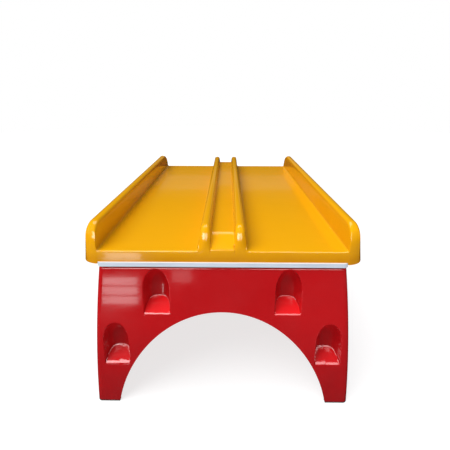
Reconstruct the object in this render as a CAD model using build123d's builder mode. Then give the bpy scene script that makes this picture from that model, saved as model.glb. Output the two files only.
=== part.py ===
"""Nursery workbench: a moulded two-lane worktop on a board, lifted on and off a moulded arched stand.

+X runs across the bench, +Y from its front to its back, +Z up. The origin is on the floor, at the
centre of the bench. Lengths are in millimetres.
"""
import os
from math import sqrt

from build123d import *

# Driving dimensions of the bench
WORK_LENGTH = 1200.0  # worktop, front to back
WORK_WIDTH = 802.0  # worktop, over the feet of its rails
WORK_HEIGHT = 500.0  # floor of the two lanes
RAIL_RISE = 70.0  # rail above the lanes
RIB_RISE = 63.0  # centre ribs above the lanes
CHANNEL_RISE = 35.0  # channel floor above the lanes

# Worktop moulding
SHEET = 4.0
SKIRT_DROP = 33.0  # front and back skirts
APRON_DROP = 40.0  # long side aprons and corners
LANE_EDGE = 349.0  # inner face of the rail at the lane
RAIL_CROWN_IN = 352.0
RAIL_CROWN_OUT = 380.0
RIB_FOOT_OUT = 69.0
RIB_CROWN_OUT = 61.5
RIB_CROWN_IN = 35.5
RIB_FOOT_IN = 33.0
PLAN_CORNER = 52.0
RAIL_NOSE = 66.0  # radius of the rail's rounded ends, seen from the side
RIB_NOSE = 52.0
FRONT_EDGE = 7.0
CHANNEL_SLOPE_RUN = 42.0
CHANNEL_SLOPE_DROP = 26.0

# Carrier board and what is fixed to it
BOARD_WIDTH = 706.0
BOARD_THICKNESS = 14.5
BOARD_LIP = 4.0  # how far the board stands proud of the skirts
BEARER_WIDTH = 60.0
BEARER_REACH = 345.0
BEARER_ROWS = (-500.0, -170.0, 170.0, 500.0)
CORE_WIDTH = 16.0
CORE_HEIGHT = 50.0
CORE_LENGTH = 1120.0
BLOCK_SIZE = 90.0
BLOCK_HEIGHT = 22.0
BLOCK_PLAY = 10.0  # how far the top can shift on the stand
PAD_RADIUS = 15.0
PAD_GAP = 0.3

# Stand
STAND_TOP = 448.0
STAND_TOP_X = 351.0  # half width at the top
STAND_FOOT_X = 392.5  # half width at the floor
STAND_TOP_Y = 600.0  # half length at the top
STAND_FOOT_Y = 648.0  # half length at the floor
STAND_BOW = 5.2  # how far each face bulges from its chord
STAND_WALL = 5.0
STAND_CORNER = 14.0
STAND_EDGE = 12.0
FLANGE = 55.0  # rim round the open top
SEAM = 520.0  # upright seams between end and side panels
SEAM_GAP = 0.5
ARCH_HALF_WIDTH = 336.0  # semi-axes of the arch's ellipse
ARCH_SEMI_HEIGHT = 436.0
ARCH_CENTRE_DROP = 122.0  # its centre lies below the floor
FOOT_PAD = 4.0
FOOT_PAD_WIDTH = 11.0
FOOT_PAD_REACH = 140.0
NICHE_WIDTH = 75.0
NICHE_HEIGHT = 135.0
NICHE_DEPTH = 48.0
NICHE_CENTRES = ((190.0, 375.0), (317.0, 208.0))  # X and Z of the upper and the lower pocket
PLATE = 3.0
PLATE_HALF_WIDTH = 28.0
SEAM_BOLT_OFFSET = 14.0
SEAM_BOLT_HEIGHTS = (70.0, 215.0, 360.0)
RAIL_WIDTH = 30.0
RAIL_HEIGHT = 35.0
RAIL_REACH = 335.0
CROSS_RAIL_ROWS = (-250.0, 250.0)
SCREW_CLEARANCE = 0.15

# Heights and half sizes that follow from them
RAIL_TOP = WORK_HEIGHT + RAIL_RISE
RIB_TOP = WORK_HEIGHT + RIB_RISE
CHANNEL = WORK_HEIGHT + CHANNEL_RISE
SKIRT = WORK_HEIGHT - SKIRT_DROP
APRON = WORK_HEIGHT - APRON_DROP
BOARD_UNDER = SKIRT - BOARD_THICKNESS
LANE_UNDER = WORK_HEIGHT - SHEET
FLANGE_UNDER = STAND_TOP - STAND_WALL
OPENING_X = STAND_TOP_X - FLANGE
OPENING_Y = STAND_TOP_Y - FLANGE
RIB_CENTRE = (RIB_CROWN_IN + RIB_CROWN_OUT) / 2
BELOW = -60.0  # a level clear below everything, for cutting
SIDES = {"left": -1, "right": 1}
ENDS = {"front": -1, "rear": 1}


def worktop_form(inset):
    """The block under the worktop's skin, drawn in by inset all round but for its open base."""
    base = APRON - 3 * inset
    half_length = WORK_LENGTH / 2 - inset
    ends = end_shape(inset)
    with BuildPart() as form:
        with BuildSketch(Plane.XZ):
            with BuildLine():
                outline = FilletPolyline(
                    (WORK_WIDTH / 2, base),
                    (RAIL_CROWN_OUT, RAIL_TOP),
                    (RAIL_CROWN_IN, RAIL_TOP),
                    (LANE_EDGE, WORK_HEIGHT),
                    (RIB_FOOT_OUT, WORK_HEIGHT),
                    (RIB_CROWN_OUT, RIB_TOP),
                    (RIB_CROWN_IN, RIB_TOP),
                    (RIB_FOOT_IN, CHANNEL),
                    (0, CHANNEL),
                    radius=(14, 13, 12, 9, 12.5, 12, 6),
                )
                Polyline(outline @ 1, (0, base), outline @ 0)
            make_face()
            mirror(about=Plane.YZ)
            offset(amount=-inset, kind=Kind.INTERSECTION, mode=Mode.REPLACE)
        extrude(amount=half_length, both=True)
        add(ends, mode=Mode.INTERSECT)
        with BuildSketch(Plane.XY.offset(base - 50)):
            RectangleRounded(WORK_WIDTH - 2 * inset, 2 * half_length, PLAN_CORNER - inset)
        extrude(amount=RAIL_TOP, mode=Mode.INTERSECT)
    return form.part


def end_shape(inset):
    """How far each band across the worktop reaches towards its ends: rails, lanes, ribs, channel."""
    half = WORK_LENGTH / 2 - inset
    base = APRON - 60
    rib_outer = RIB_FOOT_OUT + 9
    rail_inner = LANE_EDGE - 12
    rounded_bands = (
        (0, WORK_WIDTH / 2, WORK_HEIGHT, FRONT_EDGE),
        (rail_inner, WORK_WIDTH / 2, RAIL_TOP, RAIL_NOSE),
        (RIB_FOOT_IN - 6, rib_outer, RIB_TOP, RIB_NOSE),
    )
    with BuildPart() as bands:
        for low, high, top, radius in rounded_bands:
            with BuildSketch(Plane.YZ.offset(low)) as side:
                with Locations((0, (base + top - inset) / 2)):
                    Rectangle(2 * half, top - inset - base)
                fillet(side.vertices().group_by(Axis.Z)[-1], radius - inset)
            extrude(amount=high - low)
        with BuildSketch(Plane.YZ):
            with BuildLine():
                Polyline(
                    (half, base),
                    (half, CHANNEL - CHANNEL_SLOPE_DROP - inset),
                    (half - CHANNEL_SLOPE_RUN, CHANNEL - inset),
                    (0, CHANNEL - inset),
                    (0, base),
                    close=True,
                )
            make_face()
            mirror(about=Plane.YZ)
        extrude(amount=RIB_FOOT_IN)
        mirror(about=Plane.YZ)
    return bands.part


def bow_circle(foot, top):
    """Centre and radius of the arc that a stand face follows, from its foot to its top edge."""
    half_chord = sqrt((foot - top) ** 2 + STAND_TOP**2) / 2
    radius = (half_chord**2 + STAND_BOW**2) / (2 * STAND_BOW)
    inward = radius - STAND_BOW
    centre_out = (foot + top) / 2 - inward * STAND_TOP / (2 * half_chord)
    centre_up = STAND_TOP / 2 - inward * (foot - top) / (2 * half_chord)
    return centre_out, centre_up, radius


def bowed(foot, top, height):
    """Half size of the stand at a height."""
    centre_out, centre_up, radius = bow_circle(foot, top)
    return centre_out + sqrt(radius**2 - (height - centre_up) ** 2)


def stand_profile(foot, top, inset):
    """The stand seen along one axis: bowed sides and a flat top, running on down below the floor."""
    with BuildSketch() as profile:
        with BuildLine():
            side = ThreePointArc(
                (bowed(foot, top, BELOW) - inset, BELOW),
                (bowed(foot, top, STAND_TOP / 2) - inset, STAND_TOP / 2),
                (top - inset, STAND_TOP),
            )
            Polyline(side @ 1, (0, STAND_TOP), (0, BELOW), side @ 0)
        make_face()
        mirror(about=Plane.YZ)
        with Locations((0, STAND_TOP * 1.5 - inset)):
            Rectangle(4 * foot, STAND_TOP, mode=Mode.SUBTRACT)
    return profile.sketch


def stand_form(inset):
    """The bowed and flared block inside the stand's faces, drawn in by inset."""
    front_profile = stand_profile(STAND_FOOT_X, STAND_TOP_X, inset)
    side_profile = stand_profile(STAND_FOOT_Y, STAND_TOP_Y, inset)
    with BuildPart() as form:
        with BuildSketch(Plane.XZ):
            add(front_profile)
        extrude(amount=STAND_FOOT_Y + 20, both=True)
        with BuildSketch(Plane.YZ):
            add(side_profile)
        extrude(amount=STAND_FOOT_X + 20, both=True, mode=Mode.INTERSECT)
        uprights = form.edges().filter_by(lambda edge: edge.bounding_box().size.Z > STAND_TOP / 2)
        fillet(uprights, STAND_CORNER - inset)
        fillet(form.faces().sort_by(Axis.Z)[-1].edges(), STAND_EDGE - inset)
    return form.part


def niche_form(side, centre_x, centre_z, wall):
    """A pocket with a domed top, drafted sides and a floor that climbs inwards; wall thickens it."""
    face = bowed(STAND_FOOT_Y, STAND_TOP_Y, centre_z)
    mouth = Plane(origin=(side * centre_x, -face, centre_z), x_dir=(1, 0, 0), z_dir=(0, -1, 0))
    draft = 0.26  # sideways per depth
    climb = 0.66  # floor rise per depth
    dip = 0.22  # roof drop per depth
    with BuildPart() as niche:
        for depth in (-12.0, NICHE_DEPTH + wall):
            width = NICHE_WIDTH + 2 * wall - 2 * draft * depth
            bottom = -NICHE_HEIGHT / 2 - wall + climb * depth
            top = NICHE_HEIGHT / 2 + wall - dip * depth
            with BuildSketch(mouth.offset(-depth)) as outline:
                with BuildLine():
                    Polyline(
                        (-width / 2, top - width / 2),
                        (-width / 2, bottom),
                        (width / 2, bottom),
                        (width / 2, top - width / 2),
                    )
                    ThreePointArc(
                        (width / 2, top - width / 2), (0, top), (-width / 2, top - width / 2)
                    )
                make_face()
                fillet(outline.vertices().group_by(Axis.Z)[0], 7 + wall)
        loft(ruled=True)
        fillet(niche.faces().sort_by(Axis.Y)[-1].edges(), 9 + wall)
    return niche.part


def countersunk_screw(head_radius, shank_radius, length, clearance=0.0):
    """A screw pointing up, its flat head at the origin; clearance makes the hole for it."""
    head = head_radius + clearance
    shank = shank_radius + clearance
    with BuildPart() as screw:
        with BuildSketch(Plane.XZ):
            with BuildLine():
                Polyline(
                    (0, 0),
                    (head, 0),
                    (shank, head - shank),
                    (shank, length - shank),
                    (0, length + clearance),
                    close=True,
                )
            make_face()
        revolve(axis=Axis.Z)
    return screw.part


def seam_bolt_planes(side, end):
    """A plane on the outside of a side wall for each bolt of one seam, with its z axis outwards."""
    centre_x, centre_z, _ = bow_circle(STAND_FOOT_X, STAND_TOP_X)
    planes = []
    for height in SEAM_BOLT_HEIGHTS:
        half_width = bowed(STAND_FOOT_X, STAND_TOP_X, height)
        outwards = (side * (half_width - centre_x), 0, height - centre_z)
        for offset_y in (-SEAM_BOLT_OFFSET, SEAM_BOLT_OFFSET):
            origin = (side * half_width, end * SEAM + offset_y, height)
            planes.append(Plane(origin=origin, x_dir=(0, 1, 0), z_dir=outwards))
    return planes


def seam_holes():
    """Cutters for all seam bolts, through wall and plate."""
    with BuildPart() as holes:
        for side in SIDES.values():
            for end in ENDS.values():
                with Locations(*seam_bolt_planes(side, end)):
                    Cylinder(3.0 + SCREW_CLEARANCE, 40)
    return holes.part


def save(part, name):
    """Label a finished piece and write it as its own STEP file."""
    part.label = name
    export_step(part, f"parts/{name}.step")


os.makedirs("parts", exist_ok=True)

# Where the screws go
core_screw_places = [
    (side * RIB_CENTRE, row, BOARD_UNDER) for side in SIDES.values() for row in BEARER_ROWS
]
bearer_screw_places = [(side * 250, row, BOARD_UNDER) for side in SIDES.values() for row in BEARER_ROWS]
block_x = OPENING_X - BLOCK_PLAY - BLOCK_SIZE / 2
block_y = OPENING_Y - BLOCK_PLAY - BLOCK_SIZE / 2
block_under = BOARD_UNDER - BLOCK_HEIGHT
block_screw_places = [
    (side * (block_x + shift), end * (block_y + shift), block_under)
    for side in SIDES.values()
    for end in ENDS.values()
    for shift in (-22, 22)
]
rail_screw_places = [
    (side * (OPENING_X + 22), row, STAND_TOP) for side in SIDES.values() for row in CROSS_RAIL_ROWS
]
core_screw = {"head_radius": 5.0, "shank_radius": 2.5, "length": 75.0}
short_screw = {"head_radius": 4.5, "shank_radius": 2.25, "length": 32.0}
core_screw_up = countersunk_screw(**core_screw)
core_screw_hole = countersunk_screw(**core_screw, clearance=SCREW_CLEARANCE)
short_screw_up = countersunk_screw(**short_screw)
short_screw_hole = countersunk_screw(**short_screw, clearance=SCREW_CLEARANCE)
short_screw_down = short_screw_up.rotate(Axis.X, 180)
short_screw_hole_down = short_screw_hole.rotate(Axis.X, 180)

# Worktop: yellow moulded shell
worktop_outside = worktop_form(0)
worktop_inside = worktop_form(SHEET)
with BuildPart() as worktop_shell:
    add(worktop_outside)
    with BuildSketch(Plane.XY.offset(SKIRT)):
        Rectangle(BOARD_WIDTH + 4, 2 * WORK_LENGTH)
    extrude(amount=-APRON_DROP, mode=Mode.SUBTRACT)
    add(worktop_inside, mode=Mode.SUBTRACT)
save(worktop_shell.part, "worktop_shell")

# Carrier board: closes the worktop underneath and lies on the stand
with BuildPart() as carrier_board:
    with BuildSketch(Plane.XY.offset(BOARD_UNDER)):
        RectangleRounded(BOARD_WIDTH, WORK_LENGTH + 2 * BOARD_LIP, 14)
    extrude(amount=BOARD_THICKNESS)
    fillet(carrier_board.faces().filter_by(Axis.Z).edges(), 1.5)
    with Locations(*core_screw_places):
        add(core_screw_hole, mode=Mode.SUBTRACT)
    with Locations(*bearer_screw_places):
        add(short_screw_hole, mode=Mode.SUBTRACT)
    with Locations(*block_screw_places):
        add(short_screw_hole, mode=Mode.SUBTRACT)
save(carrier_board.part, "carrier_board")

# Floor bearers: wooden strips that carry the lanes on the board
for number, row in enumerate(BEARER_ROWS, start=1):
    with BuildPart() as bearer:
        with BuildSketch(Plane.XY.offset(SKIRT)):
            with Locations((0, row)):
                Rectangle(2 * BEARER_REACH, BEARER_WIDTH)
        extrude(amount=LANE_UNDER - SKIRT)
        chamfer(bearer.edges().filter_by(Axis.Z), 3)
        with Locations(*core_screw_places):
            add(core_screw_hole, mode=Mode.SUBTRACT)
        with Locations(*bearer_screw_places):
            add(short_screw_hole, mode=Mode.SUBTRACT)
    save(bearer.part, f"floor_bearer_{number}")

# Rib cores: wooden bars inside the hollow ribs, which hold the worktop down
for name, side in SIDES.items():
    with BuildPart() as core:
        with BuildSketch(Plane.XY.offset(LANE_UNDER)):
            with Locations((side * RIB_CENTRE, 0)):
                Rectangle(CORE_WIDTH, CORE_LENGTH)
        extrude(amount=CORE_HEIGHT)
        chamfer(core.faces().sort_by(Axis.Z)[-1].edges(), 2)
        with Locations(*core_screw_places):
            add(core_screw_hole, mode=Mode.SUBTRACT)
    save(core.part, f"rib_core_{name}")

# Locating blocks: drop into the corners of the stand's open top
for side_name, side in SIDES.items():
    for end_name, end in ENDS.items():
        with BuildPart() as block:
            with BuildSketch(Plane.XY.offset(block_under)):
                with Locations((side * block_x, end * block_y)):
                    Rectangle(BLOCK_SIZE, BLOCK_SIZE)
            extrude(amount=BLOCK_HEIGHT)
            chamfer(block.faces().sort_by(Axis.Z)[0].edges(), 4)
            chamfer(block.edges().filter_by(Axis.Z), 4)
            with Locations(*block_screw_places):
                add(short_screw_hole, mode=Mode.SUBTRACT)
        save(block.part, f"locating_block_{end_name}_{side_name}")

# Rest pads: rubber discs between board and stand
with BuildPart() as rest_pads:
    long_side = [(side * (OPENING_X + 27), y) for side in SIDES.values() for y in (-450, -150, 150, 450)]
    short_side = [(side * 180, end * (OPENING_Y + 27)) for side in SIDES.values() for end in ENDS.values()]
    with BuildSketch(Plane.XY.offset(STAND_TOP + PAD_GAP)):
        with Locations(*long_side, *short_side):
            Circle(PAD_RADIUS)
    extrude(amount=BOARD_UNDER - STAND_TOP - PAD_GAP)
save(rest_pads.part, "rest_pads")

# Screws of the worktop assembly
with BuildPart() as worktop_screws:
    with Locations(*core_screw_places):
        add(core_screw_up)
save(worktop_screws.part, "worktop_screws")
with BuildPart() as bearer_screws:
    with Locations(*bearer_screw_places):
        add(short_screw_up)
save(bearer_screws.part, "bearer_screws")
with BuildPart() as block_screws:
    with Locations(*block_screw_places):
        add(short_screw_up)
save(block_screws.part, "block_screws")

# Stand: one thin moulded wall, parted at four upright seams
stand_outside = stand_form(0)
stand_inside = stand_form(STAND_WALL)
bolt_holes = seam_holes()
with BuildPart() as stand_shell:
    add(stand_outside)
    add(stand_inside, mode=Mode.SUBTRACT)
    with BuildSketch(Plane.XY.offset(FLANGE_UNDER - 10)):
        RectangleRounded(2 * OPENING_X, 2 * OPENING_Y, 20)
    extrude(amount=30, mode=Mode.SUBTRACT)
    with BuildSketch(Plane.XZ):
        with Locations((0, -ARCH_CENTRE_DROP)):
            Ellipse(ARCH_HALF_WIDTH, ARCH_SEMI_HEIGHT)
    extrude(amount=STAND_FOOT_Y + 20, both=True, mode=Mode.SUBTRACT)
    with BuildSketch(Plane.XY.offset(FOOT_PAD)):
        Rectangle(3 * STAND_FOOT_X, 3 * STAND_FOOT_Y)
    extrude(amount=STAND_TOP, mode=Mode.INTERSECT)
    add(bolt_holes, mode=Mode.SUBTRACT)
    with Locations(*rail_screw_places):
        add(short_screw_hole_down, mode=Mode.SUBTRACT)

# End panels, with the arch and the four pockets
niche_places = [(side, x, z) for side in SIDES.values() for x, z in NICHE_CENTRES]
niche_walls = [niche_form(*place, STAND_WALL) for place in niche_places]
niche_hollows = [niche_form(*place, 0) for place in niche_places]
with BuildPart() as pockets:
    add(niche_walls)
    add(stand_outside, mode=Mode.INTERSECT)
with BuildPart() as front_arch_panel:
    add(stand_shell.part)
    with BuildSketch(Plane.XZ):
        Rectangle(3 * STAND_FOOT_X, 3 * STAND_TOP)
    extrude(amount=SEAM + SEAM_GAP / 2, both=True, mode=Mode.SUBTRACT)
    split(bisect_by=Plane.XZ, keep=Keep.TOP)
    add(pockets.part)
    add(niche_hollows, mode=Mode.SUBTRACT)
save(front_arch_panel.part, "front_arch_panel")
with BuildPart() as rear_arch_panel:
    add(front_arch_panel.part.rotate(Axis.Z, 180))
save(rear_arch_panel.part, "rear_arch_panel")

# Side panels
for name, side in SIDES.items():
    with BuildPart() as side_panel:
        add(stand_shell.part)
        with BuildSketch(Plane.XZ):
            with Locations((side * STAND_FOOT_X, STAND_TOP / 2)):
                Rectangle(2 * STAND_FOOT_X, 2 * STAND_TOP)
        extrude(amount=SEAM - SEAM_GAP / 2, both=True, mode=Mode.INTERSECT)
    save(side_panel.part, f"{name}_side_panel")

# Splice plates: steel strips that follow the wall behind each seam
plate_inside = stand_form(STAND_WALL + PLATE)
with BuildPart() as plate_ring:
    add(stand_inside)
    add(plate_inside, mode=Mode.SUBTRACT)
    add(bolt_holes, mode=Mode.SUBTRACT)
for side_name, side in SIDES.items():
    for end_name, end in ENDS.items():
        with BuildPart() as plate:
            add(plate_ring.part)
            with BuildSketch(Plane.XZ.offset(-end * SEAM)):
                with Locations((side * STAND_FOOT_X, STAND_TOP / 2)):
                    Rectangle(STAND_FOOT_X, STAND_TOP - 60)
            extrude(amount=PLATE_HALF_WIDTH, both=True, mode=Mode.INTERSECT)
        save(plate.part, f"splice_plate_{end_name}_{side_name}")

# Seam bolts with domed heads outside, and their nuts inside
all_seam_planes = [
    plane for side in SIDES.values() for end in ENDS.values() for plane in seam_bolt_planes(side, end)
]
with BuildPart() as seam_bolt:
    with BuildSketch(Plane.XZ):
        with BuildLine():
            head = [(8, 0), (8, 0.8), (6.6, 2.4), (3.6, 3.6), (0, 4)]
            Polyline((0, -15), (3, -15), (3, 0), *head, close=True)
        make_face()
    revolve(axis=Axis.Z)
with BuildPart() as seam_bolts:
    with Locations(*all_seam_planes):
        add(seam_bolt.part)
save(seam_bolts.part, "seam_bolts")
with BuildPart() as seam_nuts:
    with Locations(*[plane.offset(-STAND_WALL - PLATE - 0.05) for plane in all_seam_planes]):
        with Locations((0, 0, -2.5)):
            Cylinder(5.6, 5)
            Cylinder(3.0 + SCREW_CLEARANCE, 5, mode=Mode.SUBTRACT)
save(seam_nuts.part, "seam_nuts")

# Cross rails: tie the long sides together under the flange
for (name, _), row in zip(ENDS.items(), CROSS_RAIL_ROWS):
    with BuildPart() as cross_rail:
        with BuildSketch(Plane.XY.offset(FLANGE_UNDER)):
            with Locations((0, row)):
                Rectangle(2 * RAIL_REACH, RAIL_WIDTH)
        extrude(amount=-RAIL_HEIGHT)
        chamfer(cross_rail.edges().filter_by(Axis.X), 2)
        with Locations(*rail_screw_places):
            add(short_screw_hole_down, mode=Mode.SUBTRACT)
    save(cross_rail.part, f"cross_rail_{name}")
with BuildPart() as rail_screws:
    with Locations(*rail_screw_places):
        add(short_screw_down)
save(rail_screws.part, "rail_screws")

# Foot pads: rubber strips under the corners and the middle of the long sides
pad_inside = stand_form(FOOT_PAD_WIDTH)
with BuildPart() as foot_ring:
    add(stand_outside)
    add(pad_inside, mode=Mode.SUBTRACT)
    with BuildSketch(Plane.XZ):
        with Locations((0, -ARCH_CENTRE_DROP)):
            Ellipse(ARCH_HALF_WIDTH, ARCH_SEMI_HEIGHT)
    extrude(amount=STAND_FOOT_Y + 20, both=True, mode=Mode.SUBTRACT)
    with BuildSketch():
        Rectangle(3 * STAND_FOOT_X, 3 * STAND_FOOT_Y)
    extrude(amount=FOOT_PAD, mode=Mode.INTERSECT)
foot_rows = {"front": -STAND_FOOT_Y, "middle": 0.0, "rear": STAND_FOOT_Y}
for side_name, side in SIDES.items():
    for row_name, row in foot_rows.items():
        with BuildPart() as foot_pad:
            add(foot_ring.part)
            with BuildSketch():
                with Locations((side * STAND_FOOT_X, row)):
                    Rectangle(STAND_FOOT_X, 2 * FOOT_PAD_REACH)
            extrude(amount=2 * FOOT_PAD, mode=Mode.INTERSECT)
        save(foot_pad.part, f"foot_pad_{row_name}_{side_name}")
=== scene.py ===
from math import asin, copysign, cos, hypot, pi, radians, sin, sqrt

import bpy
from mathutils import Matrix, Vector


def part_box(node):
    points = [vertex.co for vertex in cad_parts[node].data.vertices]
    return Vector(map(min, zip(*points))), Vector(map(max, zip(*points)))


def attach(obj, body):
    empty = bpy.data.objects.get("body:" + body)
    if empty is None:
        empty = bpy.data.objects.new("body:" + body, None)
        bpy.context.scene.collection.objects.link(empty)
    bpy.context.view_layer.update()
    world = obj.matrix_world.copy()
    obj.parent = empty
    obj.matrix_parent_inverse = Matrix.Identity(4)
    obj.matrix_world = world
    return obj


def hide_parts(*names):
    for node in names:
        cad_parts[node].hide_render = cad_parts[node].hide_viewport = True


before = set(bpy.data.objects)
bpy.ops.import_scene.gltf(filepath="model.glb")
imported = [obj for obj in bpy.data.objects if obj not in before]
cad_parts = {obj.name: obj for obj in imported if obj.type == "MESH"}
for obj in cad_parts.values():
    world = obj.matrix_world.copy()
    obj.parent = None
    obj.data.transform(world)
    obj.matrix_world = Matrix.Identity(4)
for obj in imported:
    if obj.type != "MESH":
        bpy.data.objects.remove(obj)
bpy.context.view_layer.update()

# The looks of the nursery workbench. Lengths are in metres, in the CAD model's frame: +X across the
# bench, +Y from its front to its back, +Z up, with the origin on the floor at the centre of the bench.

top_low, top_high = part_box("worktop_shell")
arch_low, arch_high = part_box("front_arch_panel")
board_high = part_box("carrier_board")[1]
side_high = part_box("left_side_panel")[1]

# Worktop moulding: half sizes in plan, heights and sheet
HALF_WIDTH = top_high.x
HALF_LENGTH = top_high.y
RAIL_TOP = top_high.z
APRON = top_low.z
SKIRT = board_high.z
LANE = RAIL_TOP - 0.070
RIB_TOP = RAIL_TOP - 0.007
CHANNEL = LANE + 0.035
CHANNEL_MOUTH = CHANNEL - 0.032
SHEET = 0.004
SHEET_RIM = 0.0009
PLAN_CORNER = 0.052

# Its cross-section: distances from the middle of the channel, and how far a crest rises
RIB_FOOT_IN = 0.033
RIB_IN = 0.0343
RIB_OUT = 0.06305
RIB_FOOT_OUT = 0.069
RIB_ROUND = 0.013
RAIL_FOOT = board_high.x - 0.004
RAIL_IN = RAIL_FOOT + 0.0024
RAIL_OUT = RAIL_FOOT + 0.0337
RAIL_ROUND = 0.014

# Control points between those: plain distances, or (distance, height over the floor or lane)
CHANNEL_COLUMNS = (0.018, 0.0275, RIB_FOOT_IN)
RIB_INNER_WALL = ((RIB_FOOT_IN + 0.0006, 0.006),)
RIB_OUTER_WALL = ((0.0652, 0.032), (0.0672, 0.012))
LANE_COLUMNS = (
    RIB_FOOT_OUT, 0.081, 0.098, 0.140, 0.190, 0.240, 0.290, 0.322, RAIL_FOOT - 0.012, RAIL_FOOT
)
RAIL_WALL = ((RAIL_FOOT + 0.0005, 0.012), (RAIL_FOOT + 0.0015, 0.034))

# Crests: the smoothing takes CREST_LOSS off their tops, which is given back beforehand
CREST_STEPS = 6
CREST_FULLNESS = 0.82
CREST_LOSS = 0.0005

# Its ends: lengths back from the front or rear edge, and how the ribs' tips are rounded
CHANNEL_SLOPE = 0.060
CHANNEL_CURVE = 1.25
RAIL_NOSE = 0.066
RIB_NOSE = 0.050
RIB_NOSE_HEIGHT = 0.062
RIB_TIP = 0.014
RIB_TIP_MARGIN = 0.001
RIB_TIP_FADE = 0.030

# Rows of its control cage: back from an end, and out from the middle; skirt rings as shares of the height
END_ROWS = (0.0, 0.007, 0.016, 0.028, 0.042, 0.053, CHANNEL_SLOPE, RAIL_NOSE, 0.085, 0.13)
MIDDLE_ROWS = (0.36, 0.24, 0.12)
SKIRT_LEVELS = (0.78, 0.56, 0.38, 0.2, 0.06, 0.0)
SKIRT_STEP = 0.003

# Stand: half sizes at its top and foot, sheet and radii
STAND_TOP = arch_high.z
STAND_BASE = arch_low.z
TOP_X = 0.351
FOOT_X = 0.3925
TOP_Y = 0.600
FOOT_Y = 0.648
SEAM_Y = -arch_high.y
SIDE_REACH = side_high.y
BOW = 0.0052
WALL = 0.005
WALL_RIM = 0.0016
CORNER = 0.014
CORNER_STEPS = 6
EDGE = 0.006
EDGE_START = radians(9)
EDGE_STEPS = 7
FLANGE = 0.055
FLANGE_SHARES = (0.08, 0.3, 0.65, 0.92, 1.0)
OPENING_X = TOP_X - FLANGE
OPENING_Y = TOP_Y - FLANGE
OPENING_CORNER = 0.020
SIDE_COLUMNS = 40
SIDE_ROWS = 26

# Arch: the part of an ellipse over the floor
ARCH_HALF_WIDTH = 0.336
ARCH_SEMI_HEIGHT = 0.436
ARCH_DROP = 0.122

# End panels: rows up the wall, columns from corner to seam, and (from, to, gap) across half the face
END_WALL_ROWS = 184
SIDE_SHARES = (0.0, 0.2, 0.45, 0.72, 1.0)
FACE_BANDS = ((0.0, 0.40, 0.028), (0.40, 0.70, 0.0052), (0.70, 0.74, 0.012), (0.74, 1.0, 0.0052))
FACE_LEAST_GAP = 0.0025

# Pockets: the powers bend their outline, which is squarer below the arched part than in it
POCKET_CENTRES = ((0.190, 0.375), (0.317, 0.208))
POCKET_HALF_WIDTH = 0.0375
POCKET_HALF_HEIGHT = 0.0675
POCKET_DEPTH = 0.048
POCKET_CLIMB = 0.66
POCKET_ARCH_DROP = 0.004
POCKET_SQUARE_POWER = 3.6
POCKET_ROUND_POWER = 2.2
POCKET_ROUNDING = 1.6
POCKET_WALL_POWER = 0.55
POCKET_FAR_OUTSIDE = -0.6
POCKET_CREASE = 0.002
POCKET_FLOOR_LIP = 0.006
POCKET_DOME_LIP = 0.016
POCKET_LIP_CHANGE = 0.008


def blend(a, b, share):
    """The value a given share of the way from a to b."""
    return a + (b - a) * share


def ease(share):
    """A smooth step from 0 to 1."""
    share = max(0.0, min(1.0, share))
    return share * share * (3 - 2 * share)


def smooth_min(a, b, width):
    """The smaller of a and b, with the corner between them rounded over width."""
    overlap = max(width - abs(a - b), 0.0) / width
    return min(a, b) - overlap * overlap * width / 4


def mesh_object(name, points, faces):
    """A smooth-shaded mesh object."""
    mesh = bpy.data.meshes.new(name)
    mesh.from_pydata(points, [], faces)
    mesh.validate()
    mesh.shade_smooth()
    made = bpy.data.objects.new(name, mesh)
    bpy.context.scene.collection.objects.link(made)
    return made


def thicken(piece, thickness, rim):
    """Gives a sheet its thickness inwards and rounds its rims."""
    solid = piece.modifiers.new("thickness", "SOLIDIFY")
    solid.thickness = thickness
    solid.offset = -1
    solid.use_even_offset = True
    bevel = piece.modifiers.new("rim", "BEVEL")
    bevel.width = rim
    bevel.segments = 3
    bevel.limit_method = "ANGLE"
    bevel.angle_limit = radians(55)


# ---------------------------------------------------------------- worktop


def square_to_round(a, b):
    """Moves a point of the unit square onto the unit disc, the square's rim onto the circle."""
    return a * sqrt(1 - b * b / 2), b * sqrt(1 - a * a / 2)


def quarter_round(y, z, top, length, height):
    """Bends the square end of a rail or rib into a quarter round, seen from the side."""
    a = (abs(y) - (HALF_LENGTH - length)) / length
    b = (z - (top - height)) / height
    if a <= 0 or b <= 0:
        return y, z
    a, b = square_to_round(a, b)
    return copysign(HALF_LENGTH - length + a * length, y), top - height + b * height


def plan_corner(x, y):
    """Rounds the worktop's corners, seen from above."""
    a = (abs(x) - (HALF_WIDTH - PLAN_CORNER)) / PLAN_CORNER
    b = (abs(y) - (HALF_LENGTH - PLAN_CORNER)) / PLAN_CORNER
    if a <= 0 or b <= 0:
        return x, y
    a, b = square_to_round(a, b)
    x = copysign(HALF_WIDTH - PLAN_CORNER + a * PLAN_CORNER, x)
    return x, copysign(HALF_LENGTH - PLAN_CORNER + b * PLAN_CORNER, y)


def flare(x, z):
    """Widens the rail's outside towards the apron's lower edge."""
    if abs(x) <= RAIL_IN:
        return x
    drop = max(0.0, RAIL_TOP - RAIL_ROUND - z) / (RAIL_TOP - RAIL_ROUND - APRON)
    outside = blend(RAIL_OUT, HALF_WIDTH, drop)
    share = (abs(x) - RAIL_IN) / (RAIL_OUT - RAIL_IN)
    return copysign(blend(RAIL_IN, outside, share), x)


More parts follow.
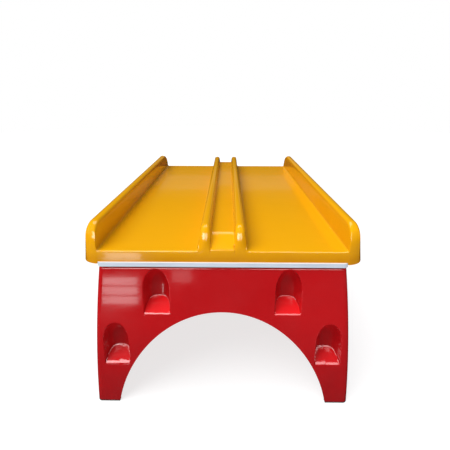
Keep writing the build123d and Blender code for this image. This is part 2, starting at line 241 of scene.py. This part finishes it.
def fingertip(x, y, z):
    """How far a rib's end is drawn back at a place, so that it is round from side to side too."""
    middle = (RIB_IN + RIB_OUT) / 2
    across = min(1.0, abs(abs(x) - middle) / (RIB_OUT - middle + RIB_TIP_MARGIN))
    end = max(0.0, 1 - (HALF_LENGTH - abs(y)) / CHANNEL_SLOPE)
    return RIB_TIP * (1 - sqrt(1 - across**2)) * end * ease((z - LANE) / RIB_TIP_FADE)


def shaped(x, y, z):
    """Where a point of the squared-off worktop goes on the rounded one."""
    if abs(x) >= RAIL_FOOT:
        y, z = quarter_round(y, z, RAIL_TOP, RAIL_NOSE, RAIL_NOSE)
    elif RIB_FOOT_IN < abs(x) <= RIB_FOOT_OUT:
        back = fingertip(x, y, z)
        y, z = quarter_round(y, z, RIB_TOP, RIB_NOSE, RIB_NOSE_HEIGHT)
        y -= copysign(back, y)
    x, y = plan_corner(flare(x, z), y)
    return x, y, z


def crest(inner, outer, top, rise):
    """Control points over the rounded top of a rail or rib, from its inner to its outer side."""
    middle = (inner + outer) / 2
    rise += CREST_LOSS
    points = []
    for step in range(CREST_STEPS + 1):
        angle = pi - pi * step / CREST_STEPS
        across = copysign(abs(cos(angle)) ** CREST_FULLNESS, cos(angle))
        up = max(0.0, sin(angle)) ** CREST_FULLNESS
        points.append((middle + (outer - inner) / 2 * across, top + CREST_LOSS - rise + rise * up))
    return points


def half_section(channel):
    """Control points across the worktop from the channel's floor to the outside of a rail."""
    channel_floor = [(x, channel) for x in CHANNEL_COLUMNS]
    rib_inner_wall = [(x, channel + up) for x, up in RIB_INNER_WALL]
    rib = crest(RIB_IN, RIB_OUT, RIB_TOP, RIB_ROUND)
    rib_outer_wall = [(x, LANE + up) for x, up in RIB_OUTER_WALL]
    lane = [(x, LANE) for x in LANE_COLUMNS]
    rail_wall = [(x, LANE + up) for x, up in RAIL_WALL]
    rail = crest(RAIL_IN, RAIL_OUT, RAIL_TOP, RAIL_ROUND)
    return channel_floor + rib_inner_wall + rib + rib_outer_wall + lane + rail_wall + rail


def section(y):
    """Control points across the whole worktop at a place along it. The channel's mouths slope down."""
    gap = max(0.0, 1 - (HALF_LENGTH - abs(y)) / CHANNEL_SLOPE)
    channel = blend(CHANNEL_MOUTH, CHANNEL, 1 - gap**CHANNEL_CURVE)
    half = half_section(channel)
    return [(-x, z) for x, z in reversed(half)] + [(0.0, channel)] + half


def skirt_edge(x):
    """Height of the moulding's lower edge: on the board in the middle, lower outside it."""
    return blend(SKIRT, APRON, ease((abs(x) - RAIL_FOOT) / SKIRT_STEP))


def cage_rows():
    """Places of the control cage's rows, from the front edge to the rear one."""
    half_rows = [HALF_LENGTH - gap for gap in END_ROWS] + list(MIDDLE_ROWS)
    return [-y for y in half_rows] + [0.0] + half_rows[::-1]


def rim_places(rows, columns):
    """(row, column) of the cage's rim, once round from its front left corner."""
    last = rows - 1
    front = [(0, i) for i in range(columns)]
    right = [(j, columns - 1) for j in range(1, last)]
    rear = [(last, i) for i in reversed(range(columns))]
    left = [(j, 0) for j in reversed(range(1, last))]
    return front + right + rear + left


def worktop_cage():
    """Points and faces of the control cage: a grid over the top, with rings of skirt all round it."""
    rows = cage_rows()
    columns = len(section(0.0))
    square = [[(x, y, z) for x, z in section(y)] for y in rows]
    points = [shaped(*point) for row in square for point in row]
    faces = []
    for j in range(len(rows) - 1):
        for i in range(columns - 1):
            corner = j * columns + i
            faces.append((corner, corner + 1, corner + columns + 1, corner + columns))
    rim = rim_places(len(rows), columns)
    above = [j * columns + i for j, i in rim]
    for level in SKIRT_LEVELS:
        ring = []
        for j, i in rim:
            x, y, z = square[j][i]
            ring.append(len(points))
            points.append(shaped(x, y, blend(skirt_edge(x), z, level)))
        for k in range(len(rim)):
            after = (k + 1) % len(rim)
            faces.append((above[k], ring[k], ring[after], above[after]))
        above = ring
    return points, faces


def make_worktop():
    """The yellow moulded top, as one sheet with rails, ribs, channel and skirts."""
    top = mesh_object("worktop_moulding", *worktop_cage())
    smooth = top.modifiers.new("smooth", "SUBSURF")
    smooth.levels = 2
    smooth.render_levels = 2
    thicken(top, SHEET, SHEET_RIM)
    return top


# ---------------------------------------------------------------- stand


def bow_circle(foot, top):
    """Centre and radius of the arc that a stand face follows, from its foot to its top edge."""
    half_chord = hypot(foot - top, STAND_TOP) / 2
    radius = (half_chord**2 + BOW**2) / (2 * BOW)
    inward = radius - BOW
    centre_out = (foot + top) / 2 - inward * STAND_TOP / (2 * half_chord)
    centre_up = STAND_TOP / 2 - inward * (foot - top) / (2 * half_chord)
    return centre_out, centre_up, radius


def edge_start(foot, top):
    """Lean of a face at the top, and how far out the centre of its rounded top edge is."""
    _, centre_up, radius = bow_circle(foot, top)
    lean = asin((STAND_TOP - centre_up) / radius)
    return lean, top + EDGE * sin(lean) / cos(lean) - EDGE / cos(lean)


def half_size(foot, top, height):
    """Half width or half length of the stand's outside at a height, with the rounded top edge."""
    lean, edge_centre = edge_start(foot, top)
    above = height - (STAND_TOP - EDGE)
    if above > EDGE * sin(lean):
        return edge_centre + sqrt(max(0.0, EDGE**2 - above**2))
    centre_out, centre_up, radius = bow_circle(foot, top)
    return centre_out + sqrt(radius**2 - (height - centre_up) ** 2)


def outline(height, rim_share):
    """Half width, half length and corner radius of the stand's outline at a height.

    A rim_share over 0 is a place on the top flange, and 1 is the edge of the open top.
    """
    half_x = half_size(FOOT_X, TOP_X, height)
    half_y = half_size(FOOT_Y, TOP_Y, height)
    above = max(0.0, height - (STAND_TOP - EDGE))
    corner = CORNER - (EDGE - sqrt(max(0.0, EDGE**2 - above**2)))
    return (
        blend(half_x, OPENING_X, rim_share),
        blend(half_y, OPENING_Y, rim_share),
        blend(corner, OPENING_CORNER, rim_share),
    )


def levels_over_edge():
    """(height, rim_share) from the wall's upper end over the rounded edge to the open top."""
    around = [EDGE_START + (pi / 2 - EDGE_START) * step / EDGE_STEPS for step in range(EDGE_STEPS + 1)]
    over = [(STAND_TOP - EDGE + EDGE * sin(angle), 0.0) for angle in around]
    return over + [(STAND_TOP, share) for share in FLANGE_SHARES]


def levels_from(low, wall_rows):
    """(height, rim_share) from a column's lowest place up the wall and over the edge."""
    top_levels = levels_over_edge()
    wall_top = top_levels[0][0]
    walls = [(blend(low, wall_top, row / wall_rows), 0.0) for row in range(wall_rows)]
    return walls + top_levels


def arch_height(x):
    """Height of the arch over the floor, or of the panel's foot where the arch has ended."""
    inside = 1 - (x / ARCH_HALF_WIDTH) ** 2
    if inside <= 0:
        return STAND_BASE
    return max(STAND_BASE, ARCH_SEMI_HEIGHT * sqrt(inside) - ARCH_DROP)


def pocket_hollow(across, up):
    """How deep one pocket is, and whether its dome (1) or its floor (0) shapes it at a place.

    The place is across, in half widths, and up, in metres, from the pocket's centre. The depth is
    below 0 just outside the pocket, and far outside there is no answer.
    """
    over = max(0.0, up + POCKET_ARCH_DROP) / (POCKET_HALF_HEIGHT + POCKET_ARCH_DROP)
    power = blend(POCKET_SQUARE_POWER, POCKET_ROUND_POWER, ease(over * POCKET_ROUNDING))
    inside = 1 - across**power - over**POCKET_ROUND_POWER
    if inside <= POCKET_FAR_OUTSIDE:
        return None
    dome = POCKET_DEPTH * copysign(abs(inside) ** POCKET_WALL_POWER, inside)
    ramp = (up + POCKET_HALF_HEIGHT) / POCKET_CLIMB
    return smooth_min(dome, ramp, POCKET_CREASE), ease((ramp - dome) / POCKET_LIP_CHANGE + 0.5)


def pocket_depth(x, z):
    """How deep the end panel is pressed in: domed pockets with a floor that climbs inwards."""
    deepest = 0.0
    for centre_x, centre_z in POCKET_CENTRES:
        found = pocket_hollow(abs(abs(x) - centre_x) / POCKET_HALF_WIDTH, z - centre_z)
        if found is None:
            continue
        hollow, dome_share = found
        lip = blend(POCKET_FLOOR_LIP, POCKET_DOME_LIP, dome_share)
        if hollow > -lip:
            deepest = max(deepest, -smooth_min(-hollow, 0.0, lip))
    return deepest


def foot_corner_share():
    """Where the arch meets the panel's foot, as a share of the flat face's half width."""
    rise = (STAND_BASE + ARCH_DROP) / ARCH_SEMI_HEIGHT
    half_x, _, corner = outline(STAND_BASE, 0.0)
    return ARCH_HALF_WIDTH * sqrt(1 - rise * rise) / (half_x - corner)


def front_stations():
    """Places across the end panel's flat face, as shares of its half width, closest at the pockets."""
    foot_share = foot_corner_share()
    shares = {0.0, foot_share, 1.0}
    for low, high, gap in FACE_BANDS:
        count = round((high - low) / gap)
        shares.update(low + (high - low) * step / count for step in range(count))
    kept = []
    for share in sorted(shares):
        if share == foot_share or abs(share - foot_share) >= FACE_LEAST_GAP:
            kept.append(share)
    return [-share for share in reversed(kept[1:])] + kept


def station_point(station, height, rim_share):
    """A point of the front half of the stand's outline: on the side, round a corner or on the face."""
    kind, side, value = station
    half_x, half_y, corner = outline(height, rim_share)
    if kind == "side":
        return side * half_x, -blend(half_y - corner, SEAM_Y, value)
    if kind == "corner":
        angle = radians(90 * value)
        out = half_x - corner + corner * cos(angle)
        return side * out, -(half_y - corner + corner * sin(angle))
    return value * (half_x - corner), -half_y


def end_stations():
    """All places round the front end panel, from its left seam to its right one."""
    corners = [step / CORNER_STEPS for step in range(1, CORNER_STEPS)]
    left = [("side", -1, value) for value in reversed(SIDE_SHARES)]
    left += [("corner", -1, value) for value in corners]
    face = [("face", 0, value) for value in front_stations()]
    right = [("corner", 1, value) for value in reversed(corners)]
    right += [("side", 1, value) for value in SIDE_SHARES]
    return left + face + right


def lowest(station):
    """Where a column of the end panel starts: at the foot or, by repeated guesses, on the arch."""
    if station[0] != "face":
        return STAND_BASE
    height = 0.2
    for _ in range(30):
        x, _ = station_point(station, height, 0.0)
        height = arch_height(x)
    return height


def grid_faces(columns, rows):
    """Faces of a grid whose points run up each column in turn, facing the viewer in front."""
    faces = []
    for i in range(columns - 1):
        for j in range(rows - 1):
            corner = i * rows + j
            faces.append((corner, corner + rows, corner + rows + 1, corner + 1))
    return faces


def end_panel_sheet():
    """Points and faces of the front end panel's outer surface."""
    stations = end_stations()
    points = []
    for station in stations:
        levels = levels_from(lowest(station), END_WALL_ROWS)
        for height, rim_share in levels:
            x, y = station_point(station, height, rim_share)
            if station[0] == "face" and rim_share == 0.0:
                y += pocket_depth(x, height)
            points.append((x, y, height))
    return points, grid_faces(len(stations), len(levels))


def make_end_panel(name, turn):
    """An end panel; turn is 1 for the front and -1 for the rear, which is the front turned round."""
    points, faces = end_panel_sheet()
    panel = mesh_object(name, [(turn * x, turn * y, z) for x, y, z in points], faces)
    thicken(panel, WALL, WALL_RIM)
    return panel


def make_side_panel(name, side):
    """A plain bowed side panel between the two seams; side is -1 for the left and 1 for the right."""
    levels = levels_from(STAND_BASE, SIDE_ROWS)
    points = []
    for column in range(SIDE_COLUMNS + 1):
        y = blend(side * SIDE_REACH, -side * SIDE_REACH, column / SIDE_COLUMNS)
        points += [(side * outline(height, rim_share)[0], y, height) for height, rim_share in levels]
    faces = grid_faces(SIDE_COLUMNS + 1, len(levels))
    panel = mesh_object(name, points, [tuple(reversed(face)) for face in faces])
    thicken(panel, WALL, WALL_RIM)
    return panel


# ---------------------------------------------------------------- materials


class Paint:
    """A material under construction: a short way to add and wire shader nodes."""

    def __init__(self, name):
        self.material = bpy.data.materials.new(name)
        self.material.use_nodes = True
        self.nodes = self.material.node_tree.nodes
        self.links = self.material.node_tree.links
        self.shader = self.nodes["Principled BSDF"]
        self.place = self.node("ShaderNodeTexCoord").outputs["Object"]

    def node(self, kind, **values):
        """Adds a node; each value goes to the input or else the property of that name."""
        made = self.nodes.new(kind)
        for name, value in values.items():
            if name in made.inputs:
                self.put(made.inputs[name], value)
            else:
                setattr(made, name, value)
        return made

    def put(self, socket, value):
        """Links another node's output to a socket, or sets a plain value on it."""
        if isinstance(value, bpy.types.NodeSocket):
            self.links.new(value, socket)
        else:
            socket.default_value = value

    def noise(self, scale, detail=3.0, roughness=0.5, stretch=(1, 1, 1)):
        """Noise from 0 to 1; stretch scales it along the axes."""
        mapping = self.node("ShaderNodeMapping", Vector=self.place, Scale=stretch)
        settings = {"Scale": scale, "Detail": detail, "Roughness": roughness}
        return self.node("ShaderNodeTexNoise", Vector=mapping.outputs[0], **settings).outputs[0]

    def ramp(self, value, low, high, start=0.0, end=1.0):
        """Maps value from low..high to start..end, held at both ends."""
        made = self.node("ShaderNodeMapRange")
        for slot, number in enumerate((value, low, high, start, end)):
            self.put(made.inputs[slot], number)
        return made.outputs[0]

    def math(self, operation, a, b):
        """Adds or multiplies two numbers."""
        made = self.node("ShaderNodeMath", operation=operation)
        self.put(made.inputs[0], a)
        self.put(made.inputs[1], b)
        return made.outputs[0]

    def mix(self, share, a, b):
        """Mixes two colours: a at a share of 0, b at 1."""
        made = self.node("ShaderNodeMix", data_type="RGBA")
        self.put(made.inputs[0], share)
        self.put(made.inputs[6], a)
        self.put(made.inputs[7], b)
        return made.outputs[2]

    def bump(self, height, distance, strength=1.0, below=None):
        """A bumpy normal; below is another bump to lay it over."""
        made = self.node("ShaderNodeBump", Height=height, Distance=distance, Strength=strength)
        if below is not None:
            self.put(made.inputs["Normal"], below)
        return made.outputs[0]

    def height_in_model(self):
        """Height over the floor with the bench at rest."""
        return self.node("ShaderNodeSeparateXYZ", Vector=self.place).outputs[2]

    def facing_up(self):
        """1 where the surface faces up, 0 where it stands upright, -1 where it faces down."""
        normal = self.node("ShaderNodeNewGeometry").outputs["Normal"]
        return self.node("ShaderNodeSeparateXYZ", Vector=normal).outputs[2]

    def pointiness(self):
        """Over 0.5 at outer edges, under it in corners."""
        return self.node("ShaderNodeNewGeometry").outputs["Pointiness"]

    def finish(self, color, roughness, normal, **constants):
        """Wires up the shader and gives the material; constants are set on its own sockets."""
        self.put(self.shader.inputs["Base Color"], color)
        self.put(self.shader.inputs["Roughness"], roughness)
        self.put(self.shader.inputs["Normal"], normal)
        for name, value in constants.items():
            self.shader.inputs[name.replace("_", " ")].default_value = value
        return self.material


def rgb(red, green, blue):
    """An opaque colour."""
    return (red, green, blue, 1.0)


def gelcoat(name, body, deep, pale, lit_top_color, low_shade_color, shade_top, shade_bottom):
    """Glossy moulded plastic: cloudy colour, fine speckle, orange peel, rubbed edges and dull corners.

    Faces that look up are painted lighter, as light. The rubbed edges are also painted lighter as a
    highlight, the corners darker as shade, and it is painted darker as patchy shade from one given height
    in the model down to another.
    """
    paint = Paint(name)
    clouds = paint.ramp(paint.noise(5.0, 4.0, 0.6), 0.35, 0.68, 0.0, 0.32)
    speckle = paint.ramp(paint.noise(420.0, 2.0, 0.7), 0.42, 0.62, 0.0, 0.22)
    color = paint.mix(clouds, body, deep)
    color = paint.mix(speckle, color, deep)
    # Painted light: faces that look up are made lighter.
    color = paint.mix(paint.ramp(paint.facing_up(), 0.35, 0.85), color, lit_top_color)
    # Painted shade: lower down, between two given heights, the colour is darkened in patches.
    lower_shade = paint.ramp(paint.height_in_model(), shade_top, shade_bottom, 0.0, 0.8)
    patchy = paint.ramp(paint.noise(14.0, 5.0, 0.65), 0.3, 0.7, 0.6, 1.0)
    color = paint.mix(paint.math("MULTIPLY", lower_shade, patchy), color, low_shade_color)
    # Rubbed edges turn pale: partly wear, partly a painted highlight along the edges.
    edges = paint.ramp(paint.pointiness(), 0.56, 0.66)
    edge_wear_and_highlight = paint.ramp(paint.noise(160.0, 4.0, 0.7), 0.48, 0.62, 0.0, 0.4)
    color = paint.mix(paint.math("MULTIPLY", edges, edge_wear_and_highlight), color, pale)
    # Painted shade: corners are darkened towards the deep colour; they are also rougher and less coated.
    corners = paint.ramp(paint.pointiness(), 0.485, 0.43)
    color = paint.mix(paint.math("MULTIPLY", corners, 0.3), color, deep)
    smudges = paint.ramp(paint.noise(9.0, 5.0, 0.7), 0.35, 0.75, 0.09, 0.19)
    scratches = paint.ramp(paint.noise(55.0, 2.0, 0.6, (9.0, 0.5, 2.0)), 0.60, 0.72, 0.0, 0.10)
    rubbed = paint.math("ADD", smudges, scratches)
    roughness = paint.math("ADD", rubbed, paint.math("MULTIPLY", corners, 0.35))
    paint.put(paint.shader.inputs["Coat Weight"], paint.ramp(corners, 0.0, 1.0, 0.5, 0.0))
    waves = paint.bump(paint.noise(16.0, 2.0, 0.5), 0.0012, 0.35)
    peel = paint.bump(paint.noise(330.0, 2.0, 0.55), 0.00012, 0.5, waves)
    return paint.finish(color, roughness, peel, IOR=1.5, Coat_Roughness=0.05)


def yellow_gelcoat():
    """The worktop's yellow, with painted shade on its skirts."""
    body = rgb(0.82, 0.372, 0.003)
    deep = rgb(0.66, 0.262, 0.002)
    # Pale of the rubbed edges, also a painted highlight on them.
    pale = rgb(0.98, 0.64, 0.12)
    # Painted light: the lighter yellow given to faces that look up.
    lit_top_color = rgb(0.95, 0.445, 0.004)
    # Painted shade: the darker yellow of the skirts below the lanes, and the heights it spans.
    low_shade_color = rgb(0.62, 0.240, 0.002)
    shade_top = LANE - 0.004
    shade_bottom = SKIRT + 0.008
    return gelcoat("yellow_gelcoat", body, deep, pale, lit_top_color, low_shade_color, shade_top, shade_bottom)


def red_gelcoat():
    """The stand's red, with painted shade darkening it towards the floor."""
    body = rgb(0.53, 0.007, 0.010)
    deep = rgb(0.38, 0.003, 0.005)
    # Pale of the rubbed edges, also a painted highlight on them.
    pale = rgb(0.66, 0.06, 0.07)
    # Painted light: the lighter red given to faces that look up.
    lit_top_color = rgb(0.86, 0.014, 0.018)
    # Painted shade: the darker red towards the floor, and the heights it spans.
    low_shade_color = rgb(0.22, 0.007, 0.009)
    shade_top = 0.30
    shade_bottom = 0.0
    return gelcoat("red_gelcoat", body, deep, pale, lit_top_color, low_shade_color, shade_top, shade_bottom)


def white_laminate():
    """Board faced white, faint smears, worn edges, bare below; painted shade on edges and underside,
    light on top.
    """
    paint = Paint("white_laminate")
    smears = paint.ramp(paint.noise(7.0, 5.0, 0.6, (1.0, 1.0, 4.0)), 0.42, 0.75)
    # Painted shade: the white facing is given as bluish grey, as it looks in shade.
    color = paint.mix(smears, rgb(0.62, 0.68, 0.78), rgb(0.52, 0.58, 0.68))
    specks = paint.ramp(paint.noise(600.0, 2.0, 0.8), 0.66, 0.74, 0.0, 0.35)
    color = paint.mix(specks, color, rgb(0.45, 0.46, 0.48))
    wear = paint.ramp(paint.pointiness(), 0.52, 0.60, 0.0, 0.4)
    color = paint.mix(wear, color, rgb(0.62, 0.58, 0.52))
    # Painted light: faces that look up turn creamy white, as lit.
    color = paint.mix(paint.ramp(paint.facing_up(), 0.5, 0.9), color, rgb(0.95, 0.92, 0.84))
    # Faces that look down are bare board, painted darker than bare board as shade.
    color = paint.mix(paint.ramp(paint.facing_up(), -0.5, -0.9), color, rgb(0.13, 0.10, 0.075))
    roughness = paint.ramp(paint.noise(30.0, 4.0, 0.6), 0.3, 0.7, 0.30, 0.46)
    return paint.finish(color, roughness, paint.bump(paint.noise(900.0, 2.0), 0.00008, 0.5))


def planed_wood(name, along):
    """Pale planed softwood, its grain running along one axis (0 for X, 1 for Y)."""
    paint = Paint(name)
    stretch = [26.0, 26.0, 26.0]
    stretch[along] = 1.3
    grain = paint.noise(3.2, 6.0, 0.62, tuple(stretch))
    fibres = paint.noise(30.0, 3.0, 0.7, tuple(stretch))
    color = paint.mix(paint.ramp(grain, 0.36, 0.66), rgb(0.62, 0.42, 0.22), rgb(0.40, 0.22, 0.09))
    color = paint.mix(paint.ramp(fibres, 0.4, 0.7, 0.0, 0.4), color, rgb(0.70, 0.53, 0.33))
    roughness = paint.ramp(fibres, 0.3, 0.7, 0.55, 0.75)
    return paint.finish(color, roughness, paint.bump(fibres, 0.0003, 0.6))


def black_rubber():
    """Matt black rubber with dust and a fine grain."""
    paint = Paint("black_rubber")
    dust = paint.ramp(paint.noise(45.0, 5.0, 0.7), 0.45, 0.75, 0.0, 0.5)
    color = paint.mix(dust, rgb(0.020, 0.020, 0.022), rgb(0.10, 0.095, 0.09))
    roughness = paint.ramp(paint.noise(80.0, 3.0), 0.3, 0.7, 0.62, 0.88)
    return paint.finish(color, roughness, paint.bump(paint.noise(700.0, 2.0), 0.0002, 0.6))


def zinc_steel():
    """Zinc-plated steel with a cloudy crystal pattern and worn edges."""
    paint = Paint("zinc_steel")
    spangle = paint.ramp(paint.noise(120.0, 3.0, 0.6), 0.35, 0.65)
    color = paint.mix(spangle, rgb(0.56, 0.57, 0.60), rgb(0.40, 0.41, 0.44))
    wear = paint.ramp(paint.pointiness(), 0.52, 0.62, 0.0, 0.7)
    color = paint.mix(wear, color, rgb(0.74, 0.74, 0.74))
    roughness = paint.ramp(spangle, 0.0, 1.0, 0.28, 0.44)
    grain = paint.bump(paint.noise(260.0, 3.0), 0.0001, 0.4)
    return paint.finish(color, roughness, grain, Metallic=1.0)


def pale_floor_paint():
    """The studio floor: a matt, faintly cloudy sheet that glows, so that shadows stay pale."""
    paint = Paint("pale_floor")
    color = paint.mix(paint.noise(1.5, 3.0), rgb(0.36, 0.36, 0.36), rgb(0.34, 0.34, 0.345))
    grain = paint.bump(paint.noise(60.0), 0.0002, 0.1)
    glow = {"Emission_Color": rgb(1.0, 1.0, 1.0), "Emission_Strength": 0.75}
    return paint.finish(color, 0.85, grain, Specular_IOR_Level=0.1, **glow)


def paint_all(pieces, material):
    """Puts one material on each of these objects."""
    for piece in pieces:
        piece.data.materials.clear()
        piece.data.materials.append(material)


def cad_nodes(*words):
    """The CAD nodes whose names contain any of these words."""
    return [node for name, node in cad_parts.items() if any(word in name for word in words)]


# ---------------------------------------------------------------- studio


def make_camera():
    """A phone-like wide view from in front and above, tipped down."""
    tipped_down = 21.11
    roll = -0.127
    turned_left = 0.544
    camera = bpy.data.objects.new("camera", bpy.data.cameras.new("camera"))
    camera.data.lens = 27.04
    camera.data.sensor_width = 36
    camera.location = (0.0144, -1.4416, 0.9034)
    camera.rotation_euler = (radians(90 - tipped_down), radians(roll), radians(turned_left))
    bpy.context.scene.collection.objects.link(camera)
    bpy.context.scene.camera = camera


def make_floor():
    """A wide round floor."""
    ring = 64
    reach = 9.0
    angles = [2 * pi * k / ring for k in range(ring)]
    points = [(reach * cos(angle), reach * sin(angle), 0.0) for angle in angles]
    floor = mesh_object("studio_floor", points, [tuple(range(ring))])
    floor.visible_glossy = False
    paint_all([floor], pale_floor_paint())


def make_world():
    """Surroundings that are white to the camera, pale as light and nearly black in reflections."""
    world = bpy.data.worlds.new("studio")
    bpy.context.scene.world = world
    world.use_nodes = True
    nodes = world.node_tree.nodes
    links = world.node_tree.links
    fill = nodes["Background"]
    fill.inputs["Color"].default_value = rgb(0.96, 0.98, 1.0)
    fill.inputs["Strength"].default_value = 0.34
    seen = nodes.new("ShaderNodeBackground")
    seen.inputs["Color"].default_value = rgb(1.0, 1.0, 1.0)
    seen.inputs["Strength"].default_value = 1.0
    mirrored = nodes.new("ShaderNodeBackground")
    mirrored.inputs["Color"].default_value = rgb(0.9, 0.95, 1.0)
    mirrored.inputs["Strength"].default_value = 0.01
    path = nodes.new("ShaderNodeLightPath")
    indirect = nodes.new("ShaderNodeMixShader")
    links.new(path.outputs["Is Glossy Ray"], indirect.inputs[0])
    links.new(fill.outputs[0], indirect.inputs[1])
    links.new(mirrored.outputs[0], indirect.inputs[2])
    choose = nodes.new("ShaderNodeMixShader")
    links.new(path.outputs["Is Camera Ray"], choose.inputs[0])
    links.new(indirect.outputs[0], choose.inputs[1])
    links.new(seen.outputs[0], choose.inputs[2])
    links.new(choose.outputs[0], nodes["World Output"].inputs["Surface"])


def make_sun():
    """A very wide, soft sun from the upper left and slightly in front, left out of reflections."""
    daylight = bpy.data.lights.new("daylight", "SUN")
    daylight.energy = 3.2
    daylight.angle = radians(58)
    sun = bpy.data.objects.new("daylight", daylight)
    sun.rotation_euler = Vector((-0.44, -0.26, 0.86)).to_track_quat("Z", "Y").to_euler()
    sun.visible_glossy = False
    bpy.context.scene.collection.objects.link(sun)


def soft_light(name, place, target, width, height, power):
    """A rectangular light aimed at a point, seen only as a reflection in glossy surfaces."""
    lamp = bpy.data.lights.new(name, "AREA")
    lamp.shape = "RECTANGLE"
    lamp.size = width
    lamp.size_y = height
    lamp.energy = power
    made = bpy.data.objects.new(name, lamp)
    made.location = place
    aim = [b - a for a, b in zip(place, target)]
    made.rotation_euler = Vector(aim).to_track_quat("-Z", "Y").to_euler()
    made.visible_camera = False
    made.visible_diffuse = False
    bpy.context.scene.collection.objects.link(made)


def make_reflections():
    """Large lights that draw the bench's edges, and small window panes that show in its front."""
    soft_light("front_left", (-0.9, -2.2, 2.06), (-0.1, -0.65, 0.5), 1.5, 1.35, 46.0)
    soft_light("front_right", (0.75, -2.2, 2.06), (0.1, -0.65, 0.5), 1.2, 1.35, 24.0)
    soft_light("overhead", (-0.2, 1.0, 3.0), (0.0, 0.2, 0.5), 2.2, 1.1, 14.0)
    soft_light("back_band", (0.0, 4.2, 1.5), (0.0, 0.4, 0.5), 5.0, 0.25, 0.5)
    window_x = -0.553
    window_y = -1.4
    for pane in range(3):
        height = 0.085 + 0.062 * pane
        place = (window_x, window_y, height)
        soft_light(f"window_{pane}", place, (window_x, 0.0, height), 0.19, 0.046, 0.11)
    soft_light("window_side", (-0.225, window_y, 0.245), (-0.225, 0.0, 0.245), 0.10, 0.08, 0.03)


# ---------------------------------------------------------------- scene

make_camera()

worktop = make_worktop()
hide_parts("worktop_shell")
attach(worktop, "worktop")

panels = {
    "front_arch_panel": make_end_panel("front_arch_moulding", 1),
    "rear_arch_panel": make_end_panel("rear_arch_moulding", -1),
    "left_side_panel": make_side_panel("left_side_moulding", -1),
    "right_side_panel": make_side_panel("right_side_moulding", 1),
}
for node_name, panel in panels.items():
    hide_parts(node_name)
    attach(panel, "stand")

wood_across = cad_nodes("floor_bearer", "locating_block", "cross_rail")
paint_all([worktop], yellow_gelcoat())
paint_all(panels.values(), red_gelcoat())
paint_all(cad_nodes("carrier_board"), white_laminate())
paint_all(wood_across, planed_wood("planed_wood_across", 0))
paint_all(cad_nodes("rib_core"), planed_wood("planed_wood_along", 1))
paint_all(cad_nodes("rest_pads", "foot_pad"), black_rubber())
paint_all(cad_nodes("screws", "splice_plate", "seam_bolts", "seam_nuts"), zinc_steel())

make_floor()
bpy.context.scene.view_settings.view_transform = "Standard"
make_world()
make_sun()
make_reflections()
